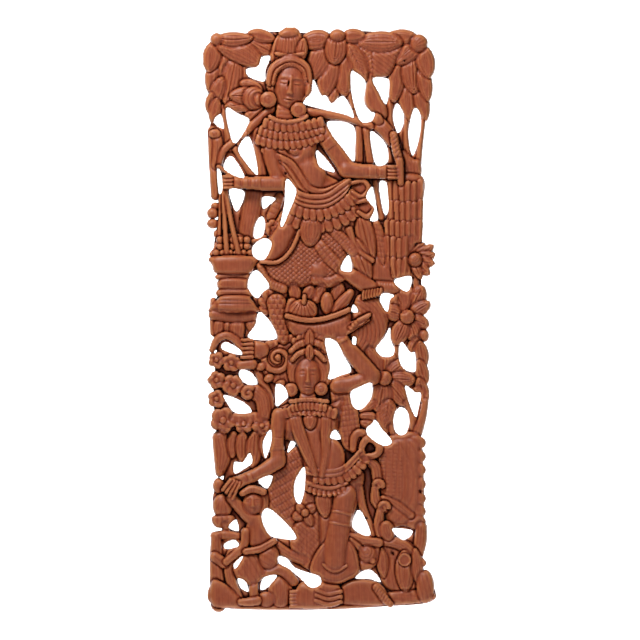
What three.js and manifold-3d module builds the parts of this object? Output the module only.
// Carved wall panel: one pierced hardwood board, cut in deep relief with two women, a child,
// baskets, bowls of fruit, flowers and leaves.
// Millimetres. The back lies on the plane y = 0, the carved face looks along -Y, +Z is up, and
// the origin is the centre of the back.

import * as THREE from 'three';
import { mergeVertices } from 'three/addons/utils/BufferGeometryUtils.js';
import Module from 'manifold-3d';

const panelHeight = 900;      // bottom edge to top edge
const panelDepth = 38;        // back plane to the nose of the first woman
const boardThickness = 12;    // what is left of the board behind the motifs
const behind = 3;             // how far a blank starts behind the back plane, before it is planed
const leafSides = 6;          // corners round a leaf
const bossSides = 8;          // corners round a flower heart, a knee or a head
const shoulderDrop = 7;       // from the top of a motif down to its upright edge
const shoulderWidth = 0.5;    // share of a bar's half-width taken by its bevel
const bevelledFrom = 27;      // motifs at least this high have bevelled shoulders
const endShare = 0.6;         // width of a bar's rounded end, as a share of the bar
const outlineStep = 28;       // spacing of the corners along a curved outline
const shoulderSlope = 1.6;    // height of a shoulder for each mm of its width, where it is narrow
const patchShoulder = 0.5;    // share of a patch's rim taken by its bevel
const bossShoulder = 0.8;     // height of a boss's rounding, as a share of its half-width
const bossFlat = 0.6;         // share of a boss's half-width that stays flat on top
const weldWithin = 0.001;     // corners closer than this are one corner

const wasm = await Module();
wasm.setup();

// a closed three.js geometry as a solid that can be joined and cut
function solidOf(geometry) {
  geometry.deleteAttribute('normal');
  geometry.deleteAttribute('uv');
  const merged = mergeVertices(geometry, weldWithin);
  return new wasm.Manifold(new wasm.Mesh({
    numProp: 3,
    vertProperties: new Float32Array(merged.attributes.position.array),
    triVerts: new Uint32Array(merged.index.array),
  }));
}

// an outline in the panel's plane, raised from behind the back plane to the height top
function raised(outline, top, bevel) {
  const drop = bevel > 0 ? Math.min(shoulderDrop, bevel * shoulderSlope) : 0;
  const geometry = new THREE.ExtrudeGeometry(new THREE.Shape(outline), {
    depth: top + behind - drop * 2,
    bevelEnabled: bevel > 0,
    bevelThickness: drop,
    bevelSize: bevel,
    bevelOffset: -bevel,
    bevelSegments: 1,
  });
  geometry.translate(0, 0, drop - behind);
  geometry.rotateX(Math.PI / 2);
  return solidOf(geometry);
}

// corners along a smooth closed curve through a few points
function smoothRing(points) {
  const knots = points.map(([x, z]) => new THREE.Vector3(x, z, 0));
  const curve = new THREE.CatmullRomCurve3(knots, true);
  const corners = Math.max(points.length, Math.round(curve.getLength() / outlineStep));
  return curve.getSpacedPoints(corners).slice(0, corners).map((p) => new THREE.Vector2(p.x, p.y));
}

// a patch of cloth, ground or bowl with a smooth outline
function patch(points, top, rim = 8) {
  return raised(smoothRing(points), top, top < bevelledFrom ? 0 : rim * patchShoulder);
}

// a bar, limb or stem: rows of x, z and half-width along its middle
function stroke(points, top) {
  const rounded = top >= bevelledFrom;
  const left = [];
  const right = [];
  const addPair = (middle, across) => {
    left.push(middle.clone().add(across));
    right.unshift(middle.clone().sub(across));
  };
  points.forEach(([x, z, half], i) => {
    const before = points[Math.max(i - 1, 0)];
    const after = points[Math.min(i + 1, points.length - 1)];
    const run = new THREE.Vector2(after[0] - before[0], after[1] - before[1]).setLength(half);
    const across = new THREE.Vector2(-run.y, run.x);
    const middle = new THREE.Vector2(x, z);
    if (rounded && i === 0) {
      addPair(middle.clone().sub(run), across.clone().multiplyScalar(endShare));
    }
    addPair(middle, across);
    if (rounded && i === points.length - 1) {
      addPair(middle.clone().add(run), across.clone().multiplyScalar(endShare));
    }
  });
  const thinnest = Math.min(...points.map((point) => point[2]));
  return raised([...left, ...right], top, rounded ? thinnest * shoulderWidth : 0);
}

// a rounded boss: half-widths rx and rz, turned about its own centre
function boss(x, z, rx, rz, top, turn = 0, sides = bossSides) {
  const drop = Math.min(shoulderDrop, bossShoulder * Math.min(rx, rz));
  const section = [new THREE.Vector2(0, -behind), new THREE.Vector2(1, -behind), new THREE.Vector2(1, top - drop)];
  if (sides > leafSides) {
    section.push(new THREE.Vector2(bossFlat, top));
  }
  section.push(new THREE.Vector2(0, top));
  const geometry = new THREE.LatheGeometry(section, sides);
  geometry.rotateY(Math.PI / 2);
  geometry.scale(rx, 1, rz);
  geometry.rotateX(Math.PI);
  geometry.rotateY(-turn);
  geometry.translate(x, 0, z);
  return solidOf(geometry);
}

// a leaf or petal from its base to its tip
function leaf(baseX, baseZ, tipX, tipZ, half, top) {
  const length = Math.hypot(tipX - baseX, tipZ - baseZ);
  const turn = Math.atan2(tipZ - baseZ, tipX - baseX);
  return boss((baseX + tipX) / 2, (baseZ + tipZ) / 2, length / 2, half, top, turn, leafSides);
}

// a window right through the board
function cut(points) {
  return raised(smoothRing(points), panelDepth + behind, 0);
}

function carveTrunks() {
  return [
    // left tree with its cut ringed top, and the branches behind the figures
    stroke([[-168, 292, 8], [-166, 262, 9], [-165, 225, 8], [-164, 192, 7]], 15),
    stroke([[-152, 330, 4], [-146, 300, 5], [-140, 268, 8]], 15),
    stroke([[-132, 264, 5], [-118, 242, 5], [-103, 220, 6]], 16),
    stroke([[-103, 200, 14], [-108, 165, 14], [-115, 125, 11]], 15),
    stroke([[-78, 326, 6.5], [-122, 287, 6.5]], 20),
    stroke([[-121, 290, 5.5], [-150, 262, 5], [-157, 238, 4]], 18),
    stroke([[-22, 322, 6.5], [37, 313, 6], [78, 300, 5]], 19),
    stroke([[45, 350, 4.5], [57, 310, 5], [60, 290, 5.5], [60, 245, 5.5]], 17),
    stroke([[84, 216, 4], [88, 190, 4], [94, 158, 4.5]], 14),
    stroke([[107, 350, 5], [108, 300, 7], [120, 260, 9], [125, 232, 9]], 15),
    stroke([[133, 312, 4], [132, 290, 4], [134, 255, 5]], 15),
    stroke([[158, 312, 5], [154, 270, 4.5], [150, 225, 5]], 16),
    stroke([[85, 308, 10], [100, 293, 10], [109, 280, 9.5]], 22),
    patch([[74, 380], [86, 366], [92, 350], [102, 333], [105, 312], [86, 318], [72, 326], [68, 345], [70, 365]], 20, 9),
    stroke([[-63, 190, 8], [-68, 175, 8], [-75, 160, 8]], 18),
    stroke([[-150, 200, 3.5], [-147, 98, 3.5]], 18),
    stroke([[-147, 198, 3.5], [-127, 110, 3.5]], 20),
    stroke([[-166, 180, 7], [-167, 164, 8]], 18),
  ];
}

function carveCanopy() {
  return [
    // the leaves along the top, back ones first
    leaf(-147, 408, -149, 368, 11, 19),
    leaf(-163, 396, -171, 350, 10, 20),
    leaf(-163, 343, -168, 305, 10, 19),
    leaf(-125, 400, -147, 330, 14, 22),
    leaf(-163, 427, -173, 384, 10, 22),
    leaf(-118, 434, -74, 410, 11, 22),
    leaf(-162, 440, -108, 441, 8, 24),
    leaf(-162, 430, -91, 391, 12, 26),
    leaf(132, 368, 138, 308, 13, 19),
    leaf(124, 396, 112, 336, 11, 20),
    leaf(150, 364, 165, 307, 10, 20),
    leaf(143, 404, 144, 353, 13, 22),
    leaf(156, 392, 167, 337, 10, 22),
    leaf(157, 422, 169, 374, 10, 22),
    leaf(150, 434, 117, 406, 12, 23),
    leaf(122, 427, 78, 373, 14, 23),
    leaf(60, 417, 79, 373, 12, 21),
    leaf(120, 433, 60, 436, 13, 25),
    boss(153, 430, 13, 13, 26),
    leaf(26, 407, 37, 346, 13, 21),
    leaf(18, 404, 4, 345, 12, 22),
    leaf(10, 422, -16, 373, 12, 22),
    leaf(40, 430, 72, 368, 16, 25),
    leaf(26, 440, 21, 398, 15, 25),
    boss(26, 440, 11, 10, 27),
  ];
}

function carveFanFlower() {
  return [
    leaf(-95, 350, -123, 367, 10, 22),
    leaf(-95, 335, -116, 311, 9, 22),
    leaf(-98, 338, -147, 330, 10, 24),
    leaf(-98, 345, -139, 346, 12, 25),
    boss(-103, 341, 15, 16, 28),
  ];
}

function carveFlowers() {
  return [
    // the two large flowers at the right, their stems and the garland
    leaf(134, 12, 157, 54, 15, 20),
    leaf(130, 12, 114, 50, 15, 20),
    leaf(128, 5, 100, 14, 13, 22),
    leaf(137, 8, 169, 26, 12, 23),
    leaf(138, 2, 166, -8, 12, 22),
    leaf(136, -2, 151, -32, 12, 23),
    leaf(130, -2, 116, -36, 12, 22),
    boss(134, 5, 11, 11, 28),
    stroke([[117, -34, 4], [117, -62, 4]], 17),
    leaf(99, -86, 103, -50, 14, 21),
    leaf(103, -86, 132, -65, 12, 22),
    leaf(104, -90, 144, -93, 12, 22),
    leaf(103, -95, 134, -131, 13, 21),
    leaf(98, -95, 91, -140, 15, 22),
    boss(99, -90, 10.5, 10.5, 27),
    leaf(87, -150, 60, -148, 6, 18),
    leaf(106, -126, 96, -177, 14, 21),
    leaf(153, -33, 162, -72, 9, 20),
    leaf(151, -62, 164, -99, 9, 21),
    leaf(151, -90, 164, -129, 9, 20),
    stroke([[134, -130, 6], [141, -150, 7], [148, -172, 7]], 18),
    stroke([[163, -126, 5], [158, -150, 6], [150, -174, 7]], 19),
  ];
}

function carveLeftMiddle() {
  return [
    stroke([[-100, -60, 7], [-92, -92, 7], [-80, -120, 7], [-80, -150, 7]], 18),
    patch([[-46, -28], [-68, -28], [-88, -42], [-95, -62], [-86, -84], [-68, -98], [-48, -100], [-40, -80], [-40, -50]], 22, 12),
    boss(-161, -62, 12, 13, 22),
    boss(-135, -101, 17, 17, 25),
    boss(-161, -122, 13, 14, 22),
    boss(-119, -160, 15, 14, 23),
    boss(-92, -163, 15, 14, 24),
    boss(-151, -155, 19, 19, 26),
    boss(-113, -115, 13, 13, 24),
    stroke([[-152, -180, 12], [-151, -208, 15], [-155, -232, 7]], 20),
    leaf(-100, -175, -104, -228, 11, 20),
  ];
}

function carveStand() {
  return [
    // fruit heaped on a footed bowl at the left
    patch([[-168, 97], [-166, 112], [-155, 126], [-138, 132], [-120, 128], [-108, 114], [-104, 97]], 24, 12),
    patch([[-168, 99], [-167, 84], [-158, 70], [-113, 70], [-102, 84], [-99, 99]], 27, 12),
    patch([[-157, 64], [-158, 46], [-158, 36], [-107, 36], [-107, 46], [-112, 64]], 23, 10),
    patch([[-152, 40], [-168, 25], [-169, 12], [-100, 12], [-100, 25], [-112, 40]], 26, 10),
    stroke([[-160, 5, 8], [-130, 3, 10], [-108, 2, 9]], 19),
    leaf(-130, -4, -108, -28, 8, 18),
    stroke([[-166, -48, 5], [-150, -26, 6], [-132, -30, 5], [-128, -48, 4]], 18),
    stroke([[-167, 30, 6], [-166, -20, 6]], 14),
  ];
}

function carvePineapple() {
  return [
    leaf(-68, 22, -78, 60, 10, 20),
    leaf(-68, 22, -94, 36, 10, 21),
    stroke([[-68, 30, 15], [-64, 0, 12], [-58, -28, 8]], 24),
  ];
}

function carveSkirtOne() {
  return [
    // the first woman's skirt, knee and right-hand folds
    patch([[-58, 172], [-88, 110], [-92, 86], [-80, 54], [-58, 46], [0, 50], [30, 48], [60, 60], [90, 42], [116, 42],
      [116, 60], [100, 90], [88, 120], [82, 150], [72, 165], [40, 185], [-30, 180]], 25, 16),
    patch([[-55, 150], [-92, 90], [-65, 90], [-46, 110], [-33, 140]], 27, 8),
    boss(-8, 84, 20, 26, 30),
    leaf(58, 152, 80, 92, 13, 28),
    leaf(50, 116, 78, 62, 13, 29),
    leaf(-20, 160, -23, 115, 14, 30),
    stroke([[42, 72, 9], [60, 58, 8], [82, 48, 8]], 28),
  ];
}

function carveTorsoOne() {
  return [
    patch([[-90, 300], [-84, 250], [-62, 200], [-40, 172], [10, 168], [40, 196], [12, 215], [-8, 246], [-4, 285],
      [-14, 302], [-50, 306]], 30, 16),
    stroke([[-38, 178, 9], [0, 172, 10], [45, 196, 10]], 30),
    stroke([[-42, 164, 7], [-10, 158, 8], [30, 168, 8], [56, 184, 8]], 28),
    stroke([[48, 178, 8], [70, 174, 12]], 27),
    stroke([[-98, 292, 8], [-96, 260, 9], [-93, 226, 8]], 22),
    stroke([[-96, 300, 10], [-56, 296, 16], [-14, 300, 10]], 31),
    stroke([[-74, 282, 10], [-50, 270, 12], [-30, 282, 10]], 33),
  ];
}

function carveArmsOne() {
  return [
    stroke([[-88, 290, 13], [-76, 245, 12], [-61, 212, 11]], 31),
    stroke([[-61, 210, 11], [-105, 211, 11], [-128, 213, 10]], 34),
    patch([[-126, 226], [-142, 228], [-153, 222], [-153, 204], [-142, 200], [-126, 202]], 34, 8),
    stroke([[-2, 296, 12], [16, 272, 13], [38, 236, 13]], 31),
    stroke([[40, 230, 12], [90, 230, 10], [116, 229, 10]], 34),
    stroke([[112, 285, 6], [118, 262, 6], [124, 240, 6], [126, 212, 4]], 33),
  ];
}

function carveHeadOne() {
  return [
    stroke([[-56, 330, 13], [-56, 306, 14]], 26),
    stroke([[-78, 352, 8], [-80, 378, 10], [-68, 398, 12], [-45, 402, 12], [-26, 385, 8], [-20, 355, 7]], 31),
    patch([[-80, 398], [-78, 420], [-68, 440], [-56, 449], [-44, 444], [-30, 430], [-24, 412], [-28, 396]], 31, 12),
    boss(-34, 424, 11, 16, 29),
    boss(-51, 360, 22, 33, 38),
    boss(-81, 341, 12.5, 12.5, 31),
    boss(-34, 325, 12, 12, 31),
  ];
}

function carveRightBasket() {
  return [
    patch([[97, 222], [104, 190], [104, 165], [97, 130], [96, 100], [100, 70], [118, 60], [150, 62], [160, 90],
      [155, 130], [158, 175], [157, 222]], 29, 20),
    leaf(142, 92, 176, 114, 15, 24),
    leaf(145, 92, 177, 90, 12, 23),
    leaf(144, 88, 168, 67, 12, 20),
    boss(151, 93, 12, 12, 27),
    stroke([[147, 72, 5], [149, 48, 5]], 17),
  ];
}

function carveFruitBowl() {
  return [
    patch([[-50, 6], [-20, 0], [10, 3], [42, 16], [47, -5], [34, -28], [0, -36], [-36, -30], [-52, -10]], 29, 16),
    leaf(20, 32, 30, 54, 8, 22),
    stroke([[43, 43, 6], [22, 16, 8]], 27),
    boss(10, 26, 10, 17, 28),
    boss(-27, 15, 22, 17, 32),
  ];
}

function carveSashRight() {
  return [
    // long drapery, forearm and scarf between the two women
    patch([[56, 35], [78, 36], [100, 14], [103, -8], [96, -24], [86, -42], [70, -52], [54, -40], [46, -10]], 23, 12),
    stroke([[30, -95, 16], [38, -140, 18], [50, -186, 14]], 24),
    stroke([[30, -98, 10], [60, -94, 13], [82, -90, 12]], 30),
    stroke([[82, -88, 12], [58, -64, 13], [34, -38, 10]], 32),
    stroke([[28, -20, 11], [50, -8, 11], [70, 4, 8]], 33),
  ];
}

function carveHeadTwo() {
  return [
    stroke([[-17, -14, 4], [-17, -28, 7], [-17, -42, 7], [-17, -60, 8]], 28),
    patch([[-52, -62], [-40, -44], [-18, -36], [4, -44], [18, -62], [16, -92], [0, -100], [-38, -98], [-50, -88]], 29, 10),
    stroke([[-20, -100, 12], [-20, -132, 15]], 27),
    boss(-20, -86, 19, 28, 37),
    boss(-46, -108, 10.5, 10.5, 31),
    boss(1, -107, 10, 10, 31),
  ];
}

function carveTorsoTwo() {
  return [
    patch([[-76, -146], [-50, -128], [-20, -130], [14, -128], [34, -120], [26, -160], [22, -190], [30, -225], [40, -262],
      [-26, -262], [-24, -230], [-38, -190], [-62, -176]], 29, 16),
  ];
}

function carveSkirtTwo() {
  return [
    patch([[-24, -255], [-30, -300], [-46, -330], [-40, -372], [-10, -392], [20, -407], [60, -390], [90, -384],
      [88, -330], [66, -300], [62, -260], [40, -240], [0, -246]], 26, 16),
    leaf(4, -256, 8, -312, 13, 32),
    stroke([[-22, -252, 6], [12, -266, 7], [40, -254, 7], [64, -226, 7]], 31),
    stroke([[7, -320, 7], [14, -382, 8]], 30),
    stroke([[36, -318, 7], [34, -382, 8]], 30),
    boss(80, -362, 15, 16, 28),
    stroke([[56, -200, 6], [60, -176, 8], [66, -180, 8]], 26),
    boss(78, -197, 14, 14, 27),
    stroke([[74, -222, 6], [96, -240, 9], [84, -268, 8], [100, -300, 8], [102, -335, 6]], 24),
  ];
}

function carveShawl() {
  return [
    patch([[-22, -190], [-60, -205], [-78, -240], [-84, -290], [-64, -308], [-46, -330], [-38, -338], [-34, -290],
      [-22, -232]], 22, 12),
  ];
}

function carveArmTwo() {
  return [
    stroke([[-66, -150, 11], [-68, -190, 10], [-68, -218, 11]], 30),
    stroke([[-68, -220, 11], [-96, -236, 9], [-124, -247, 8]], 32),
    stroke([[-124, -248, 9], [-136, -262, 9], [-146, -280, 6]], 32),
  ];
}

function carveFanRight() {
  return [
    patch([[90, -200], [110, -178], [148, -174], [160, -200], [162, -300], [150, -324], [126, -318], [104, -330],
      [92, -300], [84, -240]], 20, 10),
    stroke([[156, -322, 9], [152, -345, 9], [146, -380, 6]], 21),
    stroke([[92, -346, 6], [125, -352, 8], [156, -372, 6]], 22),
    patch([[94, -350], [100, -408], [135, -420], [152, -404], [150, -362], [130, -346]], 18, 8),
    leaf(130, -360, 131, -422, 13, 24),
  ];
}

function carveChild() {
  return [
    stroke([[-96, -310, 10], [-120, -295, 9], [-138, -276, 8]], 27),
    patch([[-116, -312], [-82, -304], [-72, -320], [-72, -350], [-90, -362], [-114, -356], [-118, -334]], 27, 12),
    stroke([[-118, -330, 6], [-120, -355, 6], [-146, -374, 5]], 25),
    patch([[-132, -372], [-112, -360], [-88, -372], [-88, -400], [-110, -410], [-130, -400]], 25, 9),
    stroke([[-103, -402, 7], [-103, -432, 7]], 24),
    stroke([[-98, -433, 7], [-122, -433, 6]], 26),
    stroke([[-93, -390, 8], [-62, -386, 8], [-40, -404, 8]], 25),
    boss(-105, -282, 15, 17, 32),
    stroke([[-119, -264, 6], [-88, -262, 6]], 31),
  ];
}

function carveLeftColumn() {
  return [
    patch([[-168, -248], [-150, -242], [-150, -268], [-167, -268]], 18, 6),
    boss(-152, -288, 15, 19, 23),
    stroke([[-147, -318, 6], [-145, -334, 6]], 17),
    stroke([[-160, -325, 8], [-161, -380, 10], [-160, -440, 10]], 18),
  ];
}

function carveGround() {
  return [
    stroke([[-158, -432, 13], [-130, -437, 8], [-60, -440, 9], [30, -440, 9], [110, -430, 11], [160, -420, 16]], 20),
    boss(-62, -420, 18, 25, 25),
    boss(-84, -434, 14, 14, 22),
    boss(163, -410, 14, 22, 24),
    patch([[28, -441], [28, -412], [50, -402], [75, -402], [98, -410], [106, -432], [92, -442], [60, -444]], 22, 10),
    stroke([[88, -418, 7], [107, -440, 7]], 25),
    patch([[-44, -442], [-46, -420], [-30, -402], [6, -402], [28, -412], [28, -440], [-8, -447]], 26, 9),
  ];
}

function carveBoard() {
  return [
    // what is left of the board between the windows, low behind the motifs
    patch([[-160, 439], [-120, 443], [-60, 446], [0, 443], [60, 447], [120, 442], [156, 434], [165, 400], [166, 350],
      [160, 310], [154, 260], [154, 200], [153, 130], [163, 100], [156, 62], [160, 30], [158, -10], [158, -60],
      [161, -110], [154, -175], [156, -230], [156, -290], [160, -325], [150, -370], [150, -387], [168, -398],
      [174, -434], [100, -443], [0, -448], [-60, -448], [-158, -444], [-170, -420], [-166, -345], [-148, -320],
      [-166, -290], [-164, -262], [-150, -243], [-160, -210], [-156, -178], [-166, -130], [-164, -80], [-160, -30], [-166, 20],
      [-156, 50], [-166, 100], [-160, 150], [-158, 180], [-170, 230], [-172, 290], [-167, 330], [-173, 380],
      [-168, 415]], boardThickness),
  ];
}

function cutWindows() {
  return [
    // upper part, round the first woman and the trees
    cut([[-91, 406], [-78, 407], [-85, 388], [-86, 372], [-92, 369], [-111, 377], [-114, 388], [-97, 392]]),
    cut([[-165, 306], [-155, 318], [-150, 296]]),
    cut([[-146, 327], [-128, 319], [-113, 312], [-112, 303], [-131, 274], [-140, 288]]),
    cut([[47, 382], [55, 382], [69, 368], [67, 338], [76, 323], [84, 319], [77, 307], [61, 309], [49, 345]]),
    cut([[81, 373], [103, 373], [106, 358], [101, 334], [90, 352]]),
    cut([[118, 335], [112, 315], [119, 290], [127, 300], [128, 318]]),
    cut([[145, 327], [136, 290], [142, 255], [152, 280], [155, 313]]),
    cut([[-11, 371], [0, 348], [8, 347], [17, 335], [34, 346], [46, 330], [51, 313], [37, 318], [-20, 332], [-25, 339], [-14, 352]]),
    cut([[-160, 232], [-154, 227], [-152, 203], [-157, 196]]),
    cut([[-110, 282], [-97, 226], [-115, 243], [-127, 265]]),
    cut([[-138, 253], [-118, 223], [-130, 222], [-150, 236]]),
    cut([[-5, 262], [21, 232], [13, 230], [-3, 240]]),
    cut([[12, 307], [50, 300], [53, 262], [52, 246], [46, 250], [34, 266], [17, 288]]),
    cut([[77, 290], [92, 282], [103, 266], [103, 244], [85, 242]]),
    // between the first woman's skirt, the cords and the right basket
    cut([[-53, 217], [-42, 208], [-38, 196], [-48, 170], [-58, 146], [-62, 148], [-56, 180]]),
    cut([[-141, 201], [-118, 197], [-130, 168]]),
    cut([[-89, 190], [-70, 188], [-80, 178], [-89, 172]]),
    cut([[-91, 160], [-86, 150], [-90, 130], [-103, 128], [-100, 150]]),
    cut([[91, 212], [101, 213], [104, 195], [105, 172], [100, 162], [94, 182]]),
    cut([[79, 206], [82, 198], [86, 175], [88, 155], [77, 154], [81, 164], [83, 173], [71, 190]]),
    cut([[-88, 126], [-76, 118], [-87, 94], [-102, 97], [-105, 113]]),
    cut([[-98, 76], [-80, 54], [-90, 43], [-99, 34], [-112, 50], [-109, 68]]),
    cut([[43, 100], [48, 76], [31, 79]]),
    // beside the fruit bowl and the upper flower
    cut([[-95, 12], [-79, -2], [-68, -27], [-90, -31], [-112, -26], [-101, -8]]),
    cut([[138, 68], [140, 55], [132, 44], [114, 60]]),
    cut([[97, 41], [113, 38], [107, 31], [103, 13], [92, 30]]),
    cut([[51, 24], [48, 13], [58, 13]]),
    cut([[50, -26], [55, -28], [54, -38], [49, -36]]),
    cut([[7, -31], [24, -34], [36, -56], [47, -78], [30, -86], [12, -91], [15, -72]]),
    cut([[-147, -34], [-125, -46], [-124, -54], [-152, -45]]),
    cut([[-122, -77], [-107, -82], [-98, -98], [-114, -99], [-126, -86]]),
    cut([[-69, -101], [-57, -103], [-51, -118], [-60, -128], [-69, -132]]),
    cut([[-148, -116], [-120, -127], [-107, -142], [-132, -143], [-147, -124]]),
    cut([[131, -102], [146, -112], [155, -114], [151, -138], [147, -150], [138, -130]]),
    cut([[125, -34], [138, -50], [145, -50], [147, -66], [145, -80], [129, -75], [121, -57]]),
    cut([[107, -12], [108, -30], [114, -46], [109, -56], [95, -56], [86, -44], [98, -28]]),
    cut([[77, -97], [80, -106], [77, -122], [62, -138], [50, -132], [47, -112], [62, -103]]),
    // round the lower flower, the second woman and her shawl
    cut([[124, -135], [134, -142], [137, -158], [132, -174], [123, -178], [115, -170], [113, -155], [116, -142]]),
    cut([[85, -155], [94, -168], [110, -188], [97, -194], [76, -181], [71, -169], [80, -160]]),
    cut([[22, -170], [31, -184], [15, -182]]),
    cut([[-78, -170], [-76, -186], [-85, -213], [-89, -190]]),
    cut([[-133, -220], [-120, -220], [-110, -206], [-106, -220], [-120, -231], [-133, -237]]),
    cut([[-75, -241], [-96, -248], [-83, -260]]),
    cut([[-46, -188], [-39, -192], [-51, -205]]),
    cut([[-25, -228], [-38, -246], [-41, -262], [-39, -277], [-32, -284], [-25, -262]]),
    // round the child and along the ground
    cut([[-131, -309], [-142, -320], [-127, -326]]),
    cut([[-134, -340], [-127, -349], [-145, -354], [-149, -347]]),
    cut([[-120, -365], [-134, -377], [-131, -384]]),
    cut([[-128, -400], [-116, -405], [-112, -420], [-124, -413]]),
    cut([[-68, -395], [-88, -399], [-93, -416], [-83, -414]]),
    cut([[-65, -366], [-52, -369], [-40, -383], [-18, -391], [-2, -397], [0, -408], [-14, -414], [-28, -402], [-48, -385], [-64, -376]]),
    cut([[-80, -292], [-50, -318], [-38, -338], [-60, -338], [-80, -331], [-91, -304]]),
    cut([[111, -323], [142, -326], [128, -340]]),
    cut([[60, -294], [77, -329], [65, -332], [49, -318]]),
    cut([[67, -388], [80, -388], [93, -405], [75, -400], [54, -399]]),
  ];
}
const motifs = [
  ...carveBoard(), ...carveTrunks(), ...carveCanopy(), ...carveFanFlower(), ...carveFlowers(),
  ...carveLeftMiddle(), ...carveStand(), ...carvePineapple(), ...carveLeftColumn(), ...carveFanRight(),
  ...carveShawl(), ...carveGround(), ...carveSashRight(), ...carveRightBasket(), ...carveTorsoOne(),
  ...carveSkirtOne(), ...carveFruitBowl(), ...carveSkirtTwo(), ...carveTorsoTwo(), ...carveArmTwo(),
  ...carveChild(), ...carveArmsOne(), ...carveHeadOne(), ...carveHeadTwo(),
];
let panel = motifs[0];
for (const motif of motifs.slice(1)) {
  panel = panel.add(motif);
}
for (const window of cutWindows()) {
  panel = panel.subtract(window);
}
const planed = new THREE.BoxGeometry(2 * panelHeight, 2 * panelDepth, 2 * panelHeight);
planed.translate(0, panelDepth, 0);
panel = panel.subtract(solidOf(planed));

const carved = panel.getMesh();
const geometry = new THREE.BufferGeometry();
geometry.setAttribute('position', new THREE.BufferAttribute(carved.vertProperties, carved.numProp));
geometry.setIndex(new THREE.BufferAttribute(carved.triVerts, 1));

const teak = new THREE.MeshStandardMaterial({ color: 0x97533b, roughness: 0.55, metalness: 0 });
const carvedPanel = new THREE.Mesh(geometry, teak);
carvedPanel.name = 'carved_panel';

const group = new THREE.Group();
group.add(carvedPanel);

export default group;
